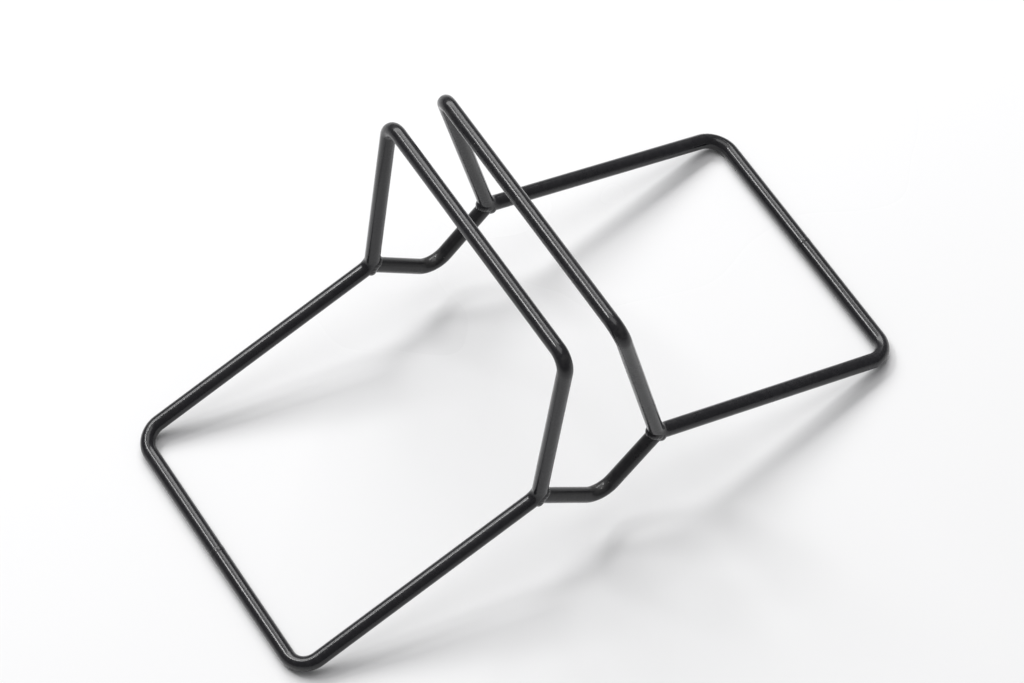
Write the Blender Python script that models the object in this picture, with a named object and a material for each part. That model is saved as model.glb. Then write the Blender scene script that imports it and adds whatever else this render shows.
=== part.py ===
"""A welded rod stand that holds one bicycle wheel upright on the floor.

Two bent rod loops stand side by side. Each has a floor bar on the outside, two arms that rise
inwards to a knee, two steep uprights and a top bar. The wheel stands between the top bars, and
its tyre rests in two V shaped cradle rods, whose ends are welded to the outsides of the knees.

The frame: metres, +Z up, +Y along the wheel, X across it. The origin is on the floor, in the
middle of the stand. All sizes of the rods' routes are those of their centrelines.
"""

import math

import bmesh
import bpy
from mathutils import Matrix, Vector

# Rod
ROD_RADIUS = 0.006
CONTACT_DEPTH = 0.0002  # flat along the underside of each floor bar
GAP = 0.0003  # left between neighbouring pieces

# Route of a loop
HALF_LENGTH = 0.122  # at the floor and at the knees
TOP_HALF_LENGTH = 0.1245
FLOOR_HALF_WIDTH = 0.2595
KNEE_HALF_WIDTH = 0.051
KNEE_HEIGHT = 0.0725
TOP_HALF_WIDTH = 0.0223
TOP_HEIGHT = 0.2295
FLOOR_CORNER_RADIUS = 0.018
KNEE_RADIUS = 0.014
TOP_CORNER_RADIUS = 0.013

# Route of a cradle rod
CRADLE_VERTEX_HEIGHT = 0.029  # where its two straight halves would meet
CRADLE_BEND_RADIUS = 0.018

# Welds
CLOSING_WELD_LENGTH = 0.003  # joins the ends of a loop, in the middle of its floor bar
BEAD_RADIUS = 0.008
BEAD_HALF_LENGTH = 0.005
BEAD_SETBACK = 0.0045  # from the loop's centreline back to the middle of the bead

# Smoothness
ARC_STEP = math.radians(10)
ROD_BEVEL_RESOLUTION = 6  # gives a rod 16 sides
BEAD_SEGMENTS = 24
BEAD_RINGS = 12
SMOOTH_ANGLE = math.radians(35)

FLOOR_BAR_HEIGHT = ROD_RADIUS - CONTACT_DEPTH

SIDES = {"left": -1, "right": 1}
ENDS = {"rear": -1, "front": 1}


def clear_scene():
    """Removes whatever the file holds."""
    for thing in list(bpy.data.objects):
        bpy.data.objects.remove(thing)


def new_collection(name):
    """A collection under the scene's own."""
    collection = bpy.data.collections.new(name)
    bpy.context.scene.collection.children.link(collection)
    return collection


def painted_steel(name, colour, roughness):
    """Black paint on steel."""
    material = bpy.data.materials.new(name)
    material.use_nodes = True
    shader = material.node_tree.nodes["Principled BSDF"]
    shader.inputs["Base Color"].default_value = (*colour, 1.0)
    shader.inputs["Roughness"].default_value = roughness
    shader.inputs["Metallic"].default_value = 0.0
    return material


def arc(before, corner, after, radius):
    """Points of the arc that rounds the corner between two straight runs. Their number is odd."""
    to_before = (before - corner).normalized()
    to_after = (after - corner).normalized()
    half_angle = to_before.angle(to_after) / 2
    turn = math.pi - 2 * half_angle
    centre = corner + (to_before + to_after).normalized() * (radius / math.sin(half_angle))
    start = corner + to_before * (radius / math.tan(half_angle))
    axis = to_after.cross(to_before).normalized()
    steps = 2 * math.ceil(turn / ARC_STEP / 2)
    rotations = [Matrix.Rotation(turn * i / steps, 3, axis) for i in range(steps + 1)]
    return [centre + rotation @ (start - centre) for rotation in rotations]


def rounded_route(corners):
    """The route through (point, bend radius) pairs. Its first and last points have no bend."""
    points = [corners[0][0]]
    for (before, _), (corner, radius), (after, _) in zip(corners, corners[1:], corners[2:]):
        points += arc(before, corner, after, radius)
    points.append(corners[-1][0])
    return points


def loop_corners(side):
    """The corners of a loop's front half, from the floor up, and their bend radii."""
    return [
        (Vector((side * FLOOR_HALF_WIDTH, HALF_LENGTH, FLOOR_BAR_HEIGHT)), FLOOR_CORNER_RADIUS),
        (Vector((side * KNEE_HALF_WIDTH, HALF_LENGTH, KNEE_HEIGHT)), KNEE_RADIUS),
        (Vector((side * TOP_HALF_WIDTH, TOP_HALF_LENGTH, TOP_HEIGHT)), TOP_CORNER_RADIUS),
    ]


def loop_route(side):
    """A loop's centreline, from the front half of its floor bar round to the rear half."""
    weld_end = CLOSING_WELD_LENGTH / 2 + GAP
    front = loop_corners(side)
    rear = [(Vector((point.x, -point.y, point.z)), radius) for point, radius in reversed(front)]
    first = (Vector((side * FLOOR_HALF_WIDTH, weld_end, FLOOR_BAR_HEIGHT)), 0)
    last = (Vector((side * FLOOR_HALF_WIDTH, -weld_end, FLOOR_BAR_HEIGHT)), 0)
    return rounded_route([first, *front, *rear, last])


def knee_middle(side):
    """The middle of a knee's bend, as a point of the XZ plane."""
    (foot, _), (knee, radius), (top, _) = loop_corners(side)
    bend = arc(foot, knee, top, radius)
    middle = bend[len(bend) // 2]
    return Vector((middle.x, 0, middle.z))


def cradle_route():
    """A cradle rod's centreline, in the XZ plane, from the left knee down and up to the right one."""
    vertex = Vector((0, 0, CRADLE_VERTEX_HEIGHT))
    return rounded_route([(knee_middle(-1), 0), (vertex, CRADLE_BEND_RADIUS), (knee_middle(1), 0)])


def as_mesh(curve_object):
    """A mesh object with the curve object's shape, place and collection. The curve is removed."""
    name = curve_object.name
    collection = curve_object.users_collection[0]
    bpy.context.view_layer.update()
    evaluated = curve_object.evaluated_get(bpy.context.evaluated_depsgraph_get())
    mesh = bpy.data.meshes.new_from_object(evaluated)
    matrix = curve_object.matrix_world.copy()
    bpy.data.objects.remove(curve_object)
    bm = bmesh.new()
    bm.from_mesh(mesh)
    bmesh.ops.remove_doubles(bm, verts=bm.verts, dist=0.00001)
    bm.to_mesh(mesh)
    bm.free()
    mesh.name = name
    mesh_object = bpy.data.objects.new(name, mesh)
    mesh_object.matrix_world = matrix
    collection.objects.link(mesh_object)
    return mesh_object


def rod(name, route, radius, collection):
    """A round rod along a route, as a mesh with closed ends."""
    curve = bpy.data.curves.new(name, "CURVE")
    curve.dimensions = "3D"
    curve.twist_mode = "MINIMUM"
    curve.bevel_depth = radius
    curve.bevel_resolution = ROD_BEVEL_RESOLUTION
    curve.use_fill_caps = True
    spline = curve.splines.new("POLY")
    spline.points.add(len(route) - 1)
    for spline_point, point in zip(spline.points, route):
        spline_point.co = (*point, 1.0)
    curve_object = bpy.data.objects.new(name, curve)
    collection.objects.link(curve_object)
    return as_mesh(curve_object)


def flatten_underside(mesh_object):
    """Cuts away what is below the floor and closes the cut, which leaves a narrow flat to stand on."""
    bm = bmesh.new()
    bm.from_mesh(mesh_object.data)
    everything = bm.verts[:] + bm.edges[:] + bm.faces[:]
    bmesh.ops.bisect_plane(bm, geom=everything, plane_co=(0, 0, 0), plane_no=(0, 0, -1), clear_outer=True)
    rim = [edge for edge in bm.edges if edge.is_boundary]
    bmesh.ops.holes_fill(bm, edges=rim, sides=0)
    bmesh.ops.recalc_face_normals(bm, faces=bm.faces)
    bm.to_mesh(mesh_object.data)
    bm.free()


def subtract(thing, cutter):
    """Takes the cutter's shape out of an object."""
    modifier = thing.modifiers.new("clear_" + cutter.name, "BOOLEAN")
    modifier.operation = "DIFFERENCE"
    modifier.solver = "EXACT"
    modifier.object = cutter


def smooth(thing):
    """Shades the round faces smooth and keeps the edges of the flat ones."""
    thing.data.shade_smooth()
    thing.data.set_sharp_from_angle(angle=SMOOTH_ANGLE)


def finish_piece(thing, material, parent):
    """Gives a piece its material and its place under the stand's empty."""
    thing.data.materials.clear()
    thing.data.materials.append(material)
    thing.parent = parent
    smooth(thing)


def make_cutter(name, route, location, collection):
    """A wider rod, for clearing the room that a rod and its gap take."""
    cutter = rod(name, route, ROD_RADIUS + GAP, collection)
    cutter.location = location
    cutter.hide_render = True
    cutter.display_type = "WIRE"
    return cutter


def make_loop(name, side, collection):
    """One bent rod loop, open only where its closing weld sits."""
    loop = rod(name, loop_route(side), ROD_RADIUS, collection)
    flatten_underside(loop)
    return loop


def make_closing_weld(name, side, collection):
    """The weld between the two ends of a loop's rod, ground flush with it."""
    half = Vector((0, CLOSING_WELD_LENGTH / 2, 0))
    middle = Vector((side * FLOOR_HALF_WIDTH, 0, FLOOR_BAR_HEIGHT))
    weld = rod(name, [middle - half, middle + half], ROD_RADIUS, collection)
    flatten_underside(weld)
    return weld


def make_cradle_rod(name, location, loop_cutters, collection):
    """A V shaped rod across the stand, coped at both ends to fit against the knees."""
    cradle = rod(name, cradle_route(), ROD_RADIUS, collection)
    cradle.location = location
    for cutter in loop_cutters:
        subtract(cradle, cutter)
    return cradle


def make_bead(name, side, end, cutters, collection):
    """The fillet weld round a cradle rod's end: an ellipsoid with both rods taken out of it."""
    joint = knee_middle(side)
    vertex = Vector((0, 0, CRADLE_VERTEX_HEIGHT))
    along = (joint - vertex).normalized()
    mesh = bpy.data.meshes.new(name)
    bm = bmesh.new()
    bmesh.ops.create_uvsphere(bm, u_segments=BEAD_SEGMENTS, v_segments=BEAD_RINGS, radius=BEAD_RADIUS)
    bmesh.ops.scale(bm, vec=(1, 1, BEAD_HALF_LENGTH / BEAD_RADIUS), verts=bm.verts)
    bm.to_mesh(mesh)
    bm.free()
    bead = bpy.data.objects.new(name, mesh)
    bead.location = joint - along * BEAD_SETBACK + Vector((0, end * HALF_LENGTH, 0))
    bead.rotation_euler = along.to_track_quat("Z", "Y").to_euler()
    collection.objects.link(bead)
    for cutter in cutters:
        subtract(bead, cutter)
    return bead


def main():
    clear_scene()
    parts = new_collection("wheel_cradle_stand")
    cutting = new_collection("cutters")

    loop_black = painted_steel("loop_black", (0.012, 0.012, 0.014), 0.38)
    cradle_black = painted_steel("cradle_black", (0.010, 0.010, 0.012), 0.42)
    weld_black = painted_steel("weld_black", (0.011, 0.011, 0.013), 0.48)

    stand = bpy.data.objects.new("stand", None)
    parts.objects.link(stand)

    middle = Vector((0, 0, 0))
    end_places = {end: Vector((0, sign * HALF_LENGTH, 0)) for end, sign in ENDS.items()}
    loop_cutters = {
        side: make_cutter(side + "_loop_cutter", loop_route(sign), middle, cutting)
        for side, sign in SIDES.items()
    }
    cradle_cutters = {
        end: make_cutter(end + "_cradle_cutter", cradle_route(), place, cutting)
        for end, place in end_places.items()
    }

    for side, side_sign in SIDES.items():
        finish_piece(make_loop(side + "_loop", side_sign, parts), loop_black, stand)
        finish_piece(make_closing_weld(side + "_closing_weld", side_sign, parts), weld_black, stand)

    for end, end_sign in ENDS.items():
        cradle = make_cradle_rod(end + "_cradle_rod", end_places[end], loop_cutters.values(), parts)
        finish_piece(cradle, cradle_black, stand)
        for side, side_sign in SIDES.items():
            neighbours = (loop_cutters[side], cradle_cutters[end])
            bead = make_bead(f"{end}_{side}_weld_bead", side_sign, end_sign, neighbours, parts)
            finish_piece(bead, weld_black, stand)


main()
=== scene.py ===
"""The looks of a welded rod stand that holds one bicycle wheel upright on the floor.

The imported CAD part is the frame. Each of its nodes is replaced by a finer piece in the same place: rods
with round sections that flatten a little where they are bent, cradle rods coped to the knees that they
meet, rippled weld beads, and closing welds that are ground nearly flush. One recipe for black powder
coat, in three variants, covers them. It shows where the wheel, the floor and other stands rub.

The frame: metres, +Z up, +Y along the wheel, X across it. The origin is on the floor, in the middle of
the stand.
"""

import math
import random
from collections import namedtuple

import bmesh
import bpy
from mathutils import Matrix, Quaternion, Vector
from mathutils.geometry import intersect_point_line


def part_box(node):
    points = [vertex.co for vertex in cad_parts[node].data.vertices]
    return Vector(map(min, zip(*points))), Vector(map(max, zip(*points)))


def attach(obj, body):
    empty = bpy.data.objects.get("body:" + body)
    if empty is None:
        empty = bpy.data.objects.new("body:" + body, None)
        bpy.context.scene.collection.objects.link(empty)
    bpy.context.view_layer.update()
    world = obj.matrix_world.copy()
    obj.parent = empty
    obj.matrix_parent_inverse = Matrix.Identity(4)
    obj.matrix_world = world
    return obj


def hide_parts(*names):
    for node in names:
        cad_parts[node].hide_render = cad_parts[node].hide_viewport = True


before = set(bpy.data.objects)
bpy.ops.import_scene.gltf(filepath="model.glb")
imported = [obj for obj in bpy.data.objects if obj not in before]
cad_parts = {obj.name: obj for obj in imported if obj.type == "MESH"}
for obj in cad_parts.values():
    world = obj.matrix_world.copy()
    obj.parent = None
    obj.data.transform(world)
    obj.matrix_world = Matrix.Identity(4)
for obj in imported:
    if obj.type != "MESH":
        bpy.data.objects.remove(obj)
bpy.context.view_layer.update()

SIDES = {"left": -1, "right": 1}
ENDS = {"rear": -1, "front": 1}

# Sizes that the frame's boxes give
WELD_LOW, WELD_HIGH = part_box("left_closing_weld")
_, LOOP_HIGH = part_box("left_loop")
CRADLE_LOW, CRADLE_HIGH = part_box("front_cradle_rod")
ROD_RADIUS = (WELD_HIGH.x - WELD_LOW.x) / 2
FLOOR_BAR_HEIGHT = WELD_HIGH.z - ROD_RADIUS
FLOOR_HALF_WIDTH = -(WELD_LOW.x + WELD_HIGH.x) / 2
HALF_LENGTH = (CRADLE_LOW.y + CRADLE_HIGH.y) / 2
TOP_HALF_WIDTH = ROD_RADIUS - LOOP_HIGH.x
TOP_HEIGHT = LOOP_HIGH.z - ROD_RADIUS

# Sizes of the routes that the boxes can't give
TOP_HALF_LENGTH = 0.1245
KNEE_HALF_WIDTH = 0.051
KNEE_HEIGHT = 0.0725
FLOOR_CORNER_RADIUS = 0.018
KNEE_RADIUS = 0.014
TOP_CORNER_RADIUS = 0.013
CRADLE_VERTEX_HEIGHT = 0.029
CRADLE_BEND_RADIUS = 0.018

# How finely rods are made
ROD_SIDES = 40
RING_SPACING = 0.003
ARC_STEP = math.radians(4)
SMOOTH_ANGLE = math.radians(40)

# What bending does to a rod's section
BEND_FLATTENING = 0.045
BEND_WIDENING = 0.02

# Closing welds
FRAME_GAP = 0.0003  # what the frame leaves between neighbouring pieces
LOOP_END = WELD_HIGH.y + FRAME_GAP
CLOSING_WELD_REACH = 0.0026
CLOSING_WELD_CROWN = 0.00012
CLOSING_WELD_TUCK = 0.0003
CLOSING_WELD_EDGE = 12  # how close to its ends it starts to tuck in
CLOSING_WELD_RINGS = 13

# Coped ends of the cradle rods
KNEE_REACH = 3 * ROD_RADIUS
COPE_REACH = 0.012
COPE_RINGS = 4
SEARCH_STEPS = 22

# Weld beads
BEAD_SEED = 11
BEAD_STEPS = 160
BEAD_SECTION_POINTS = 11
BEAD_LEG = 0.0036
BEAD_LEG_VARIATION = 0.12
BEAD_WAVES = (2, 3, 4)  # how often the leg swings, in one turn round the rod
BEAD_BULGE = 0.0011
BEAD_FULLNESS = 0.62
BEAD_SINK = 0.00015
BEAD_DEPTH = 0.0016
BEAD_RIPPLES = 19
BEAD_RIPPLE_HEIGHT = 0.00045
BEAD_RIPPLE_DRIFT = 0.6
BEAD_CRESCENT = 0.9
BEAD_SMOOTHING_REACH = 9
BEAD_SMOOTHING_ROUNDS = 2

# Where the coat wears
SOLE_WEAR_HEIGHT = 0.0025
TYRE_HALF_WIDTH = 0.024
RUB_WEAR = 0.55
KNOCK_WEAR = 0.6
CREST_WEAR = 0.25

# A place on a rod's centreline: its point, the rod's radius, how bent it is from 0 to 1, and the
# direction in which the bend's centre lies.
Station = namedtuple("Station", "point radius bend inward")


def clamp(value):
    """The value, kept from 0 to 1."""
    return min(max(value, 0.0), 1.0)


def smoothstep(low, high, value):
    """A smooth rise from 0 to 1, as value goes from low to high."""
    share = clamp((value - low) / (high - low))
    return share * share * (3 - 2 * share)


# ---------------------------------------------------------------- routes


def straight(start, end):
    """Stations from start to end, at most RING_SPACING apart."""
    count = max(1, math.ceil((end - start).length / RING_SPACING))
    return [Station(start.lerp(end, i / count), ROD_RADIUS, 0.0, Vector()) for i in range(count + 1)]


def arc(before, corner, after, radius):
    """Stations of the arc that rounds the corner between two straight runs. Their number is odd."""
    to_before = (before - corner).normalized()
    to_after = (after - corner).normalized()
    half_angle = to_before.angle(to_after) / 2
    turn = math.pi - 2 * half_angle
    centre = corner + (to_before + to_after).normalized() * (radius / math.sin(half_angle))
    first_spoke = corner + to_before * (radius / math.tan(half_angle)) - centre
    axis = to_after.cross(to_before).normalized()
    steps = 2 * math.ceil(turn / ARC_STEP / 2)
    stations = []
    for i in range(steps + 1):
        spoke = Matrix.Rotation(turn * i / steps, 3, axis) @ first_spoke
        bend = math.sin(math.pi * i / steps)
        stations.append(Station(centre + spoke, ROD_RADIUS, bend, -spoke.normalized()))
    return stations


def rounded_route(corners):
    """Stations through (point, bend radius) pairs. The first and last points have no bend."""
    stations = []
    here = corners[0][0]
    for (before, _), (corner, radius), (after, _) in zip(corners, corners[1:], corners[2:]):
        bend = arc(before, corner, after, radius)
        stations += straight(here, bend[0].point)[:-1]
        stations += bend[:-1]
        here = bend[-1].point
    return stations + straight(here, corners[-1][0])


def loop_corners(side):
    """The corners of a loop's front half, from the floor up, and their bend radii."""
    return [
        (Vector((side * FLOOR_HALF_WIDTH, HALF_LENGTH, FLOOR_BAR_HEIGHT)), FLOOR_CORNER_RADIUS),
        (Vector((side * KNEE_HALF_WIDTH, HALF_LENGTH, KNEE_HEIGHT)), KNEE_RADIUS),
        (Vector((side * TOP_HALF_WIDTH, TOP_HALF_LENGTH, TOP_HEIGHT)), TOP_CORNER_RADIUS),
    ]


def loop_route(side):
    """A loop's stations, from the front half of its floor bar round to the rear half."""
    front = loop_corners(side)
    rear = [(Vector((point.x, -point.y, point.z)), radius) for point, radius in reversed(front)]
    first = (Vector((side * FLOOR_HALF_WIDTH, LOOP_END, FLOOR_BAR_HEIGHT)), 0)
    last = (Vector((side * FLOOR_HALF_WIDTH, -LOOP_END, FLOOR_BAR_HEIGHT)), 0)
    return rounded_route([first, *front, *rear, last])


def knee_bend(side):
    """The stations of a front knee's bend."""
    (foot, _), (knee, radius), (top, _) = loop_corners(side)
    return arc(foot, knee, top, radius)


def knee_middle(side, end):
    """The middle of a knee's bend."""
    bend = knee_bend(side)
    middle = bend[len(bend) // 2].point
    return Vector((middle.x, end * HALF_LENGTH, middle.z))


def knee_line(side, end):
    """The loop's centreline close to a knee, as points."""
    joint = knee_middle(side, end)
    points = [station.point for station in loop_route(side)]
    return [point for point in points if (point - joint).length < KNEE_REACH]


def cradle_vertex(end):
    """Where the two straight halves of a cradle rod would meet."""
    return Vector((0, end * HALF_LENGTH, CRADLE_VERTEX_HEIGHT))


def cradle_route(end):
    """A cradle rod's stations, from near the left knee down and up to near the right one."""
    vertex = cradle_vertex(end)
    ends = []
    for side in SIDES.values():
        joint = knee_middle(side, end)
        ends.append(joint + (vertex - joint).normalized() * COPE_REACH)
    return rounded_route([(ends[0], 0), (vertex, CRADLE_BEND_RADIUS), (ends[1], 0)])


def closing_weld_route(side):
    """A closing weld's stations. Its crown is slight, and its ends tuck in under the loop's ends."""
    stations = []
    for i in range(CLOSING_WELD_RINGS):
        share = 2 * i / (CLOSING_WELD_RINGS - 1) - 1
        point = Vector((side * FLOOR_HALF_WIDTH, share * CLOSING_WELD_REACH, FLOOR_BAR_HEIGHT))
        crown = CLOSING_WELD_CROWN * (1 - share**2)
        tuck = CLOSING_WELD_TUCK * share**CLOSING_WELD_EDGE
        stations.append(Station(point, ROD_RADIUS + (crown - tuck), 0.0, Vector()))
    return stations


# ---------------------------------------------------------------- meshes


def nearest_on(line, place):
    """The nearest point of a line of points, in a straight run between two of them or at its ends."""
    best = None
    for start, end in zip(line, line[1:]):
        _, share = intersect_point_line(place, start, end)
        foot = start.lerp(end, clamp(share))
        if best is None or (place - foot).length < (place - best).length:
            best = foot
    return best


def touch(start, direction, line):
    """Where a ray first comes within ROD_RADIUS of a line, if it does so within COPE_REACH."""
    low, high = 0.0, COPE_REACH
    for _ in range(SEARCH_STEPS):
        middle = (low + high) / 2
        place = start + direction * middle
        if (place - nearest_on(line, place)).length > ROD_RADIUS:
            low = middle
        else:
            high = middle
    return start + direction * low


def section_frames(stations):
    """The normal and binormal at each station. The normal is carried along without a twist."""
    frames = []
    normal = None
    for i, station in enumerate(stations):
        tangent = Vector()
        if i > 0:
            tangent += (station.point - stations[i - 1].point).normalized()
        if i < len(stations) - 1:
            tangent += (stations[i + 1].point - station.point).normalized()
        tangent.normalize()
        if normal is None:
            normal = tangent.orthogonal()
        normal = (normal - tangent * normal.dot(tangent)).normalized()
        frames.append((normal, tangent.cross(normal)))
    return frames


class RodMesh:
    """Collects rings of vertices and joins them. Each vertex carries what the coat needs to know:
    rod_space, its place as if the rod were straight, and wear, from 0 to 1."""

    def __init__(self):
        self.bm = bmesh.new()
        self.rod_space = self.bm.verts.layers.float_vector.new("rod_space")
        self.wear = self.bm.verts.layers.float.new("wear")

    def vert(self, place, rod_space, wear):
        made = self.bm.verts.new(place)
        made[self.rod_space] = rod_space
        made[self.wear] = wear
        return made

    def join(self, ring, following):
        """Quads between two rings with as many vertices."""
        for i in range(len(ring)):
            j = (i + 1) % len(ring)
            self.bm.faces.new((ring[i], ring[j], following[j], following[i]))

    def finish(self, name, material):
        """The object made of the rings. Its round faces are smooth and its rims are sharp."""
        bmesh.ops.recalc_face_normals(self.bm, faces=self.bm.faces)
        mesh = bpy.data.meshes.new(name)
        self.bm.to_mesh(mesh)
        self.bm.free()
        mesh.materials.append(material)
        mesh.shade_smooth()
        mesh.set_sharp_from_angle(angle=SMOOTH_ANGLE)
        made = bpy.data.objects.new(name, mesh)
        bpy.context.scene.collection.objects.link(made)
        return made


def sweep(rod, stations, wear_at):
    """Adds the rings of a rod along its stations and returns them. No vertex goes below the floor."""
    rings = []
    length = 0.0
    before = stations[0].point
    for station, (normal, binormal) in zip(stations, section_frames(stations)):
        length += (station.point - before).length
        before = station.point
        ring = []
        for i in range(ROD_SIDES):
            turn = math.tau * i / ROD_SIDES
            outward = normal * math.cos(turn) + binormal * math.sin(turn)
            towards = station.inward * outward.dot(station.inward)
            flattening = towards * (BEND_FLATTENING * station.bend)
            widening = (outward - towards) * (BEND_WIDENING * station.bend)
            place = station.point + (outward - flattening + widening) * station.radius
            place.z = max(place.z, 0.0)
            rod_space = (length, station.radius * math.cos(turn), station.radius * math.sin(turn))
            ring.append(rod.vert(place, rod_space, wear_at(place, outward, station)))
        rings.append(ring)
    for ring, following in zip(rings, rings[1:]):
        rod.join(ring, following)
    return rings


def loop_wear(side):
    """Wear of a loop: on its sole, where it faces the wheel, and on the outsides of its bends."""

    def wear_at(place, outward, station):
        sole = smoothstep(SOLE_WEAR_HEIGHT, 0.0, place.z)
        faces_wheel = clamp(-side * outward.x)
        rub = faces_wheel * smoothstep(KNEE_HEIGHT, TOP_HEIGHT, place.z)
        knock = station.bend * clamp(-outward.dot(station.inward))
        return max(sole, RUB_WEAR * rub, KNOCK_WEAR * knock)

    return wear_at


def cradle_wear(place, outward, station):
    """Wear of a cradle rod: on its upper side, where the tyre stands."""
    return clamp(outward.z) * smoothstep(TYRE_HALF_WIDTH, 0.0, abs(place.x))


def closing_weld_wear(place, outward, station):
    """Wear of a closing weld: on its sole."""
    return smoothstep(SOLE_WEAR_HEIGHT, 0.0, place.z)


def capped_rod(name, stations, wear_at, material):
    """A rod along its stations, with flat ends."""
    rod = RodMesh()
    rings = sweep(rod, stations, wear_at)
    rod.bm.faces.new(rings[0])
    rod.bm.faces.new(rings[-1])
    return rod.finish(name, material)


def make_loop(name, side, material):
    """One bent rod, from one side of its closing weld round to the other."""
    return capped_rod(name, loop_route(side), loop_wear(side), material)


def make_closing_weld(name, side, material):
    """The weld between a loop's two ends, ground nearly flush."""
    return capped_rod(name, closing_weld_route(side), closing_weld_wear, material)


def cope(rod, ring, joint, line):
    """Ends a cradle rod on a knee: rings run on to the loop's surface, then inwards over it."""
    centre = sum((vert.co for vert in ring), Vector()) / len(ring)
    direction = (joint - centre).normalized()
    outer = ring
    for i in range(COPE_RINGS, 0, -1):
        share = i / COPE_RINGS
        inner = []
        for vert in ring:
            start = centre.lerp(vert.co, share)
            length, around, beside = vert[rod.rod_space]
            place = touch(start, direction, line)
            inner.append(rod.vert(place, (length, around * share, beside * share), 0.0))
        rod.join(outer, inner)
        outer = inner
    tip = rod.vert(touch(centre, direction, line), (0.0, 0.0, 0.0), 0.0)
    for i in range(len(outer)):
        rod.bm.faces.new((outer[i], outer[(i + 1) % len(outer)], tip))


def make_cradle_rod(name, end, material):
    """One V shaped rod between the knees of one end, coped to both."""
    rod = RodMesh()
    rings = sweep(rod, cradle_route(end), cradle_wear)
    for side, ring in zip(SIDES.values(), (rings[0], rings[-1])):
        cope(rod, ring, knee_middle(side, end), knee_line(side, end))
    return rod.finish(name, material)


def eased(points):
    """A closed line of points, with its kinks rounded."""
    for _ in range(BEAD_SMOOTHING_ROUNDS):
        window = range(-BEAD_SMOOTHING_REACH, BEAD_SMOOTHING_REACH + 1)
        count = len(points)
        sums = [sum((points[(i + j) % count] for j in window), Vector()) for i in range(count)]
        points = [total / len(window) for total in sums]
    return points


def onto(line, place):
    """The place moved straight out from a rod's centreline, to just under the rod's surface."""
    foot = nearest_on(line, place)
    return foot + (place - foot).normalized() * (ROD_RADIUS - BEAD_SINK)


def bead_section(place, out, tangent, along, lines, leg, phase):
    """One section of a weld bead: its face from the cradle rod over to the loop, then its root."""
    cradle_line, loop_line = lines
    loop_out = (place - nearest_on(loop_line, place)).normalized()
    on_loop = tangent.cross(loop_out).normalized()
    if on_loop.dot(out + along) < 0:
        on_loop.negate()
    toe_cradle = onto(cradle_line, place - along * leg)
    toe_loop = onto(loop_line, place + on_loop * leg)
    outward = (out + loop_out).normalized()
    crown = place + (toe_cradle + toe_loop - 2 * place) * BEAD_FULLNESS + outward * BEAD_BULGE
    section = []
    for i in range(BEAD_SECTION_POINTS):
        share = i / (BEAD_SECTION_POINTS - 1)
        face = toe_cradle.lerp(crown, share).lerp(crown.lerp(toe_loop, share), share)
        middle = 4 * share * (1 - share)
        ripple = (phase + BEAD_CRESCENT * middle) % 1.0
        ridge = math.sqrt(1 - (2 * ripple - 1) ** 2)
        section.append((face + outward * (BEAD_RIPPLE_HEIGHT * ridge * middle), ridge * middle))
    section.append((place - outward * BEAD_DEPTH, 0.0))
    return section


def make_bead(name, side, end, material, chance):
    """The fillet weld round a cradle rod's end, laid in ripples where the two rods' surfaces meet."""
    joint = knee_middle(side, end)
    loop_line = knee_line(side, end)
    along = (joint - cradle_vertex(end)).normalized()
    across = Vector((0, 1, 0))
    upward = across.cross(along)
    wave_starts = [chance.uniform(0, math.tau) for _ in BEAD_WAVES]

    outs = []
    for i in range(BEAD_STEPS):
        turn = math.tau * i / BEAD_STEPS
        outs.append(across * math.cos(turn) + upward * math.sin(turn))
    ray_starts = [joint - along * COPE_REACH + out * ROD_RADIUS for out in outs]
    root = eased([touch(start, along, loop_line) for start in ray_starts])
    cradle_line = (joint - along * 2 * COPE_REACH, joint + along * ROD_RADIUS)
    lines = (cradle_line, loop_line)

    rod = RodMesh()
    rings = []
    for i, (place, out) in enumerate(zip(root, outs)):
        share = i / BEAD_STEPS
        ahead = root[(i + 1) % BEAD_STEPS]
        behind = root[i - 1]
        waves = zip(BEAD_WAVES, wave_starts)
        swing = sum(math.sin(math.tau * share * wave + start) for wave, start in waves) / len(BEAD_WAVES)
        leg = BEAD_LEG * (1 + BEAD_LEG_VARIATION * swing)
        phase = BEAD_RIPPLES * share + BEAD_RIPPLE_DRIFT * swing
        tangent = (ahead - behind).normalized()
        section = bead_section(place, out, tangent, along, lines, leg, phase)
        length = share * math.tau * ROD_RADIUS
        ring = []
        for j, (point, crest) in enumerate(section):
            rod_space = (length, j * BEAD_LEG / BEAD_SECTION_POINTS, 0.0)
            ring.append(rod.vert(point, rod_space, CREST_WEAR * crest))
        rings.append(ring)
    for ring, following in zip(rings, rings[1:] + rings[:1]):
        rod.join(ring, following)
    return rod.finish(name, material)


# ---------------------------------------------------------------- materials

# Patterns of the coat: waves per metre, and for scratches along the rod and across it
PATCH_SCALE = 28.0
MOTTLE_SCALE = 240.0
SPECKLE_SCALE = 330.0
PEEL_SCALE = 460.0
GRAIN_SCALE = 1900.0
SCRATCHES_ALONG = (34.0, 1500.0, 1500.0)
SCRATCHES_AROUND = (1300.0, 90.0, 90.0)

# Where each pattern starts to show and where it shows fully
ALONG_EDGE = (0.68, 0.74)
AROUND_EDGE = (0.74, 0.80)
RUBBED_EDGE = (0.35, 0.85)
CHIP_EDGE = (0.775, 0.795)
# The next two: where dust and a painted highlight lighten what faces up
TOP_FACING_EDGE = (0.1, 1.0)
DUST_AND_TOP_HIGHLIGHT_EDGE = (0.3, 0.75)
PATCH_EDGE = (0.3, 0.7)

# What wear does
SCRATCHED_AT = 0.6  # the wear at which every scratch shows
UNWORN_SCRATCHES = 0.10
CHIPS_FROM_WEAR = 0.17
# How thin the dust and painted top highlight get where the mottle is low
THINNEST_DUST_AND_TOP_HIGHLIGHT = 0.25

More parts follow.
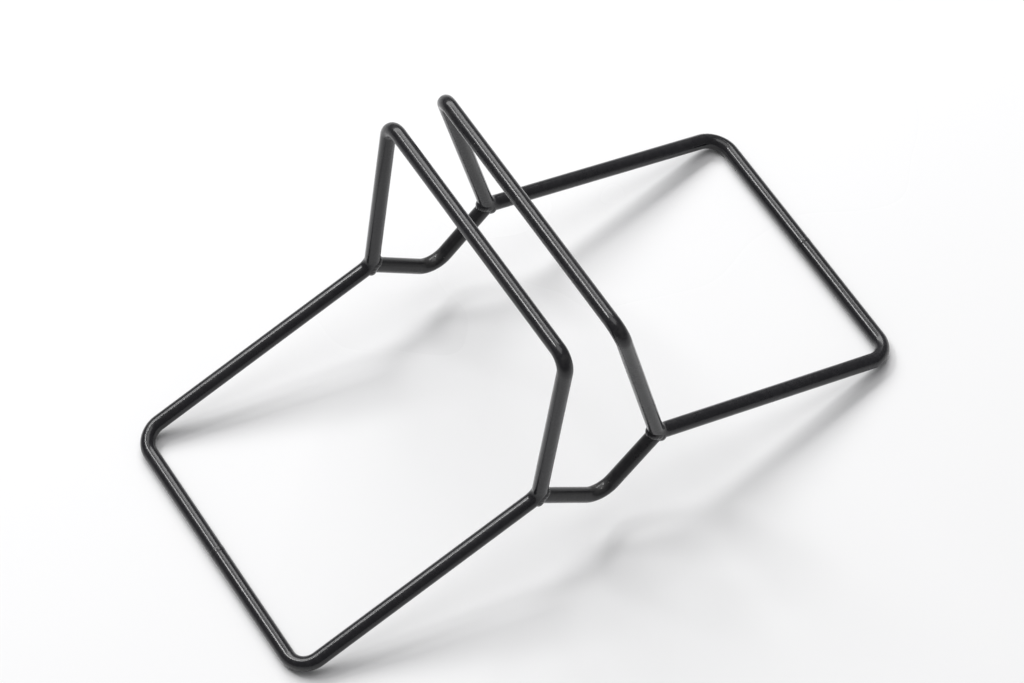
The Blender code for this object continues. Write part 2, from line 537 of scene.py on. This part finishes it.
# Colours, and how much of each covers the black
PATCH_SHADES = (0.75, 1.25)
# Dust on what faces up, which is also a painted highlight that lightens the tops
DUST_AND_TOP_HIGHLIGHT = (0.30, 0.29, 0.28, 1.0)
DUST_AND_TOP_HIGHLIGHT_COVER = 0.035
RUBBED_COAT = (0.055, 0.053, 0.052, 1.0)
RUBBED_COVER = 0.30
SCRATCHED_COAT = (0.085, 0.085, 0.09, 1.0)
SCRATCH_COVER = 0.35
STEEL = (0.24, 0.23, 0.22, 1.0)
STEEL_METALLIC = 0.9

# Roughness
PATCH_GLOSSIER = 0.04
PATCH_DULLER = 0.05
GRAIN_ROUGHNESS = 0.10
DUST_ROUGHNESS = 0.05
RUBBED_ROUGHNESS = 0.52
STEEL_ROUGHNESS = 0.42

# Relief: its depth in metres, and each pattern's share of it
PEEL_DEPTH = 0.00017
PEEL_RELIEF = 0.75
GRAIN_RELIEF = 0.05
SCRATCH_RELIEF = 0.25
CHIP_RELIEF = 0.9

# Gloss that is the same all over
PAINT_IOR = 1.5
SPECULAR_LEVEL = 0.28
CLEAR_WEIGHT = 0.45
CLEAR_ROUGHNESS = 0.12

# Floor
FLOOR_SHADES = ((0.86, 0.86, 0.865, 1.0), (0.89, 0.89, 0.89, 1.0))
FLOOR_ROUGHNESS = (0.26, 0.32)
FLOOR_CLOUD_SCALE = 1.6


def add(tree, kind, inputs=None, **settings):
    """Adds a node. A value in inputs is a number, a colour or a socket to link from."""
    node = tree.nodes.new(kind)
    for name, value in settings.items():
        setattr(node, name, value)
    for key, value in (inputs or {}).items():
        if isinstance(value, bpy.types.NodeSocket):
            tree.links.new(value, node.inputs[key])
        else:
            node.inputs[key].default_value = value
    return node


def combine(tree, operation, first, second):
    """The result of a two-value Math node."""
    return add(tree, "ShaderNodeMath", {0: first, 1: second}, operation=operation).outputs[0]


def times(tree, value, factor):
    """A value times a number or another value."""
    return combine(tree, "MULTIPLY", value, factor)


def noise(tree, place, scale, detail=2.0, roughness=0.5):
    """Noise from 0 to 1, with scale in waves per metre."""
    inputs = {"Vector": place, "Scale": scale, "Detail": detail, "Roughness": roughness}
    return add(tree, "ShaderNodeTexNoise", inputs).outputs[0]


def stretch(tree, place, scale):
    """A place with each of its axes scaled."""
    return add(tree, "ShaderNodeVectorMath", {0: place, 1: scale}, operation="MULTIPLY").outputs[0]


def rise(tree, value, low, high, to_low=0.0, to_high=1.0):
    """A smooth rise from to_low to to_high, as value goes from low to high."""
    inputs = {"Value": value, "From Min": low, "From Max": high, "To Min": to_low, "To Max": to_high}
    node = add(tree, "ShaderNodeMapRange", inputs, interpolation_type="SMOOTHSTEP")
    return node.outputs["Result"]


def blend_colour(tree, share, first, second):
    """From the first colour to the second. A Mix node's colours are its inputs 6 and 7."""
    return add(tree, "ShaderNodeMix", {0: share, 6: first, 7: second}, data_type="RGBA").outputs[2]


def blend_value(tree, share, first, second):
    """From the first value to the second. A Mix node's values are its inputs 2 and 3."""
    return add(tree, "ShaderNodeMix", {0: share, 2: first, 3: second}, data_type="FLOAT").outputs[0]


def attribute(tree, name, output):
    """What the vertices carry under a name."""
    return add(tree, "ShaderNodeAttribute", attribute_name=name).outputs[output]


def shade(colour, factor):
    """A colour made darker or lighter, with its alpha."""
    return (*(factor * channel for channel in colour), 1.0)


def scratch_pattern(tree, wear):
    """Fine scratches, mostly along the rod and fewer around it, and more of them where it is worn."""
    rod_space = attribute(tree, "rod_space", "Vector")
    along = rise(tree, noise(tree, stretch(tree, rod_space, SCRATCHES_ALONG), 1.0), *ALONG_EDGE)
    around = rise(tree, noise(tree, stretch(tree, rod_space, SCRATCHES_AROUND), 1.0), *AROUND_EDGE)
    strength = rise(tree, wear, 0.0, SCRATCHED_AT, UNWORN_SCRATCHES, 1.0)
    return times(tree, combine(tree, "MAXIMUM", along, around), strength)


def rubbed_pattern(tree, wear, mottle):
    """Patches that are rubbed dull, with a mottled edge."""
    uneven = combine(tree, "SUBTRACT", mottle, 0.5)
    return rise(tree, combine(tree, "ADD", wear, uneven), *RUBBED_EDGE)


def chip_pattern(tree, wear, place):
    """Small chips through to the steel, nearly all of them where wear is high."""
    speckle = noise(tree, place, SPECKLE_SCALE, detail=4.0, roughness=0.65)
    return rise(tree, combine(tree, "ADD", speckle, times(tree, wear, CHIPS_FROM_WEAR)), *CHIP_EDGE)


def dust_and_top_highlight_pattern(tree, mottle):
    """Uneven dust on what faces up, and with it a painted highlight that lightens the tops."""
    facing = add(tree, "ShaderNodeNewGeometry").outputs["Normal"]
    facing_up = add(tree, "ShaderNodeSeparateXYZ", {0: facing}).outputs["Z"]
    top_facing = rise(tree, facing_up, *TOP_FACING_EDGE)
    return times(tree, top_facing, rise(tree, mottle, *DUST_AND_TOP_HIGHLIGHT_EDGE, THINNEST_DUST_AND_TOP_HIGHLIGHT, 1.0))


def coat_colour(tree, colour, patches, dust_and_top_highlight, rubbed, scratches, chips):
    """The black, with what lies on it, a painted highlight on its tops, and what shows through it."""
    darker, lighter = PATCH_SHADES
    tint = blend_colour(tree, patches, shade(colour, darker), shade(colour, lighter))
    # Painted highlight: the tops are made lighter, both as dust and as light from above
    tint = blend_colour(tree, times(tree, dust_and_top_highlight, DUST_AND_TOP_HIGHLIGHT_COVER), tint, DUST_AND_TOP_HIGHLIGHT)
    tint = blend_colour(tree, times(tree, rubbed, RUBBED_COVER), tint, RUBBED_COAT)
    tint = blend_colour(tree, times(tree, scratches, SCRATCH_COVER), tint, SCRATCHED_COAT)
    return blend_colour(tree, chips, tint, STEEL)


def coat_roughness(tree, roughness, patches, grain, dust_and_top_highlight, rubbed, chips):
    """The coat's roughness, which varies in patches and in its grain."""
    rough = rise(tree, patches, *PATCH_EDGE, roughness - PATCH_GLOSSIER, roughness + PATCH_DULLER)
    uneven = times(tree, combine(tree, "SUBTRACT", grain, 0.5), GRAIN_ROUGHNESS)
    rough = combine(tree, "ADD", rough, uneven)
    rough = combine(tree, "ADD", rough, times(tree, dust_and_top_highlight, DUST_ROUGHNESS))
    rough = blend_value(tree, rubbed, rough, RUBBED_ROUGHNESS)
    return blend_value(tree, chips, rough, STEEL_ROUGHNESS)


def coat_normal(tree, place, grain, scratches, chips):
    """The relief of the orange peel and the grain, less what scratches and chips take out of it."""
    peel = noise(tree, place, PEEL_SCALE, detail=1.0)
    relief = combine(tree, "ADD", times(tree, peel, PEEL_RELIEF), times(tree, grain, GRAIN_RELIEF))
    relief = combine(tree, "SUBTRACT", relief, times(tree, scratches, SCRATCH_RELIEF))
    relief = combine(tree, "SUBTRACT", relief, times(tree, chips, CHIP_RELIEF))
    inputs = {"Strength": 1.0, "Distance": PEEL_DEPTH, "Height": relief}
    return add(tree, "ShaderNodeBump", inputs).outputs[0]


def powder_coat(name, colour, roughness):
    """Black powder coat on steel, with the wear that each piece's wear attribute asks for."""
    material = bpy.data.materials.new(name)
    material.use_nodes = True
    tree = material.node_tree
    place = add(tree, "ShaderNodeTexCoord").outputs["Object"]
    wear = attribute(tree, "wear", "Fac")
    patches = noise(tree, place, PATCH_SCALE, detail=3.0)
    mottle = noise(tree, place, MOTTLE_SCALE, detail=3.0, roughness=0.6)
    grain = noise(tree, place, GRAIN_SCALE, roughness=0.6)
    scratches = scratch_pattern(tree, wear)
    rubbed = rubbed_pattern(tree, wear, mottle)
    chips = chip_pattern(tree, wear, place)
    # Dust on the tops, which also paints a highlight there
    dust_and_top_highlight = dust_and_top_highlight_pattern(tree, mottle)

    inputs = tree.nodes["Principled BSDF"].inputs
    tint = coat_colour(tree, colour, patches, dust_and_top_highlight, rubbed, scratches, chips)
    rough = coat_roughness(tree, roughness, patches, grain, dust_and_top_highlight, rubbed, chips)
    tree.links.new(tint, inputs["Base Color"])
    tree.links.new(rough, inputs["Roughness"])
    tree.links.new(times(tree, chips, STEEL_METALLIC), inputs["Metallic"])
    tree.links.new(coat_normal(tree, place, grain, scratches, chips), inputs["Normal"])
    inputs["IOR"].default_value = PAINT_IOR
    inputs["Specular IOR Level"].default_value = SPECULAR_LEVEL
    inputs["Coat Weight"].default_value = CLEAR_WEIGHT
    inputs["Coat Roughness"].default_value = CLEAR_ROUGHNESS
    inputs["Coat IOR"].default_value = PAINT_IOR
    return material


def floor_paint():
    """A pale studio floor with a slight gloss."""
    material = bpy.data.materials.new("studio_floor")
    material.use_nodes = True
    tree = material.node_tree
    place = add(tree, "ShaderNodeTexCoord").outputs["Object"]
    cloud = noise(tree, place, FLOOR_CLOUD_SCALE, detail=3.0)
    inputs = tree.nodes["Principled BSDF"].inputs
    tree.links.new(blend_colour(tree, cloud, *FLOOR_SHADES), inputs["Base Color"])
    tree.links.new(rise(tree, cloud, *PATCH_EDGE, *FLOOR_ROUGHNESS), inputs["Roughness"])
    inputs["Specular IOR Level"].default_value = SPECULAR_LEVEL
    return material


# ---------------------------------------------------------------- stage

FLOOR_HALF_SIZE = 12.0
FLOOR_CELLS = 8
AIM_HEIGHT = 0.08
CAMERA_AZIMUTH = math.radians(-27.6)
CAMERA_ELEVATION = math.radians(56.2)
CAMERA_DISTANCE = 3.65
CAMERA_ROLL = math.radians(-4.2)
LENS = 172.0
ROOM_COLOUR = (0.98, 0.98, 1.0, 1.0)
ROOM_STRENGTH = 0.23


def make_floor():
    """A plain floor that reaches far past the picture."""
    mesh = bpy.data.meshes.new("studio_floor")
    bm = bmesh.new()
    bmesh.ops.create_grid(bm, x_segments=FLOOR_CELLS, y_segments=FLOOR_CELLS, size=FLOOR_HALF_SIZE)
    bm.to_mesh(mesh)
    bm.free()
    mesh.materials.append(floor_paint())
    floor = bpy.data.objects.new("studio_floor", mesh)
    bpy.context.scene.collection.objects.link(floor)


def add_softbox(name, place, width, height, power):
    """A soft lamp that faces the stand and stays out of the picture."""
    light = bpy.data.lights.new(name, "AREA")
    light.shape = "RECTANGLE"
    light.size = width
    light.size_y = height
    light.energy = power
    lamp = bpy.data.objects.new(name, light)
    lamp.location = place
    to_stand = Vector((0, 0, AIM_HEIGHT)) - lamp.location
    lamp.rotation_euler = to_stand.to_track_quat("-Z", "Y").to_euler()
    lamp.visible_camera = False
    bpy.context.scene.collection.objects.link(lamp)


def light_the_studio():
    """A softbox overhead, a wide one past the front end, a small one for highlights, and a dim room."""
    add_softbox("overhead", Vector((0.6, 0.4, 6.4)), width=4.4, height=4.4, power=125.0)
    add_softbox("past_the_front", Vector((1.0, 5.4, 6.0)), width=9.6, height=2.8, power=480.0)
    add_softbox("small_bright", Vector((-1.9, 3.3, 6.0)), width=1.5, height=1.0, power=85.0)
    world = bpy.data.worlds.new("studio_room")
    world.use_nodes = True
    background = world.node_tree.nodes["Background"]
    background.inputs["Color"].default_value = ROOM_COLOUR
    background.inputs["Strength"].default_value = ROOM_STRENGTH
    bpy.context.scene.world = world


def add_camera():
    """The camera at the photograph's viewing angle, closer in, with its small roll."""
    level = math.cos(CAMERA_ELEVATION)
    back = Vector((
        math.sin(CAMERA_AZIMUTH) * level,
        -math.cos(CAMERA_AZIMUTH) * level,
        math.sin(CAMERA_ELEVATION),
    ))
    data = bpy.data.cameras.new("camera")
    data.lens = LENS
    camera = bpy.data.objects.new("camera", data)
    camera.location = Vector((0, 0, AIM_HEIGHT)) + back * CAMERA_DISTANCE
    camera.rotation_mode = "QUATERNION"
    camera.rotation_quaternion = (-back).to_track_quat("-Z", "Y") @ Quaternion((0, 0, 1), CAMERA_ROLL)
    bpy.context.scene.collection.objects.link(camera)
    bpy.context.scene.camera = camera


# ---------------------------------------------------------------- the stand


def place_piece(piece, node):
    """Rides the piece on the stand, in place of its CAD node."""
    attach(piece, "root")
    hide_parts(node)


def build_stand():
    """Makes the ten pieces: per side a loop and its closing weld, per end a cradle rod and two beads."""
    loop_coat = powder_coat("loop_powder_coat", (0.0070, 0.0068, 0.0092), roughness=0.25)
    cradle_coat = powder_coat("cradle_powder_coat", (0.0058, 0.0056, 0.0070), roughness=0.30)
    weld_coat = powder_coat("weld_powder_coat", (0.0066, 0.0064, 0.0084), roughness=0.27)
    chance = random.Random(BEAD_SEED)

    for side, side_sign in SIDES.items():
        loop = make_loop(side + "_bent_loop", side_sign, loop_coat)
        place_piece(loop, side + "_loop")
        weld = make_closing_weld(side + "_butt_weld", side_sign, weld_coat)
        place_piece(weld, side + "_closing_weld")

    for end, end_sign in ENDS.items():
        cradle = make_cradle_rod(end + "_cradle", end_sign, cradle_coat)
        place_piece(cradle, end + "_cradle_rod")
        for side, side_sign in SIDES.items():
            bead = make_bead(f"{end}_{side}_bead", side_sign, end_sign, weld_coat, chance)
            place_piece(bead, f"{end}_{side}_weld_bead")


build_stand()
make_floor()
light_the_studio()
add_camera()
bpy.context.scene.view_settings.view_transform = "Standard"
